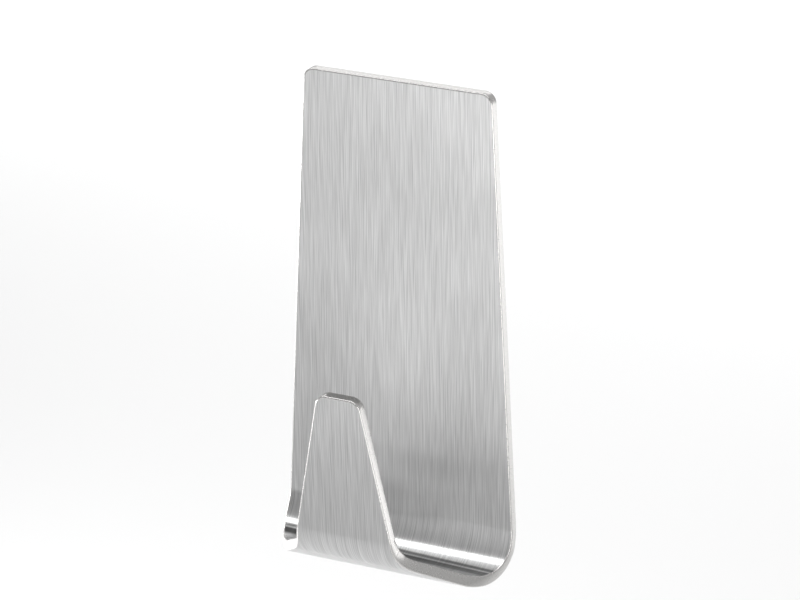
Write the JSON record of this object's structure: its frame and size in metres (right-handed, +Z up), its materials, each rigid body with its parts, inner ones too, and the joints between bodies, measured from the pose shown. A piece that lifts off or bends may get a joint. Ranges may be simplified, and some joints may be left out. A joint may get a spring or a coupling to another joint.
{
  "type": "adhesive hook",
  "caption": "Wall hook folded from a tapered sheet of brushed stainless steel into a back plate and a narrow upturned tongue, fixed by a foam tape pad.",
  "frame": {"origin": "middle of the pad's wall face, where the hook is stuck to the wall", "axes": "+Y into the wall, square to it, +Z up along the back plate, +X to the right for someone facing the hook"},
  "size_m": [0.0332, 0.0209, 0.0669],
  "materials": {
    "brushed_sheet": "fine straight brushing along the sheet",
    "foam_tape": "grey closed-cell acrylic foam with a tacky satin face"
  },
  "bodies": {
    "root": {"hook_sheet": "brushed_sheet", "adhesive_pad": "foam_tape"}
  },
  "joints": []
}
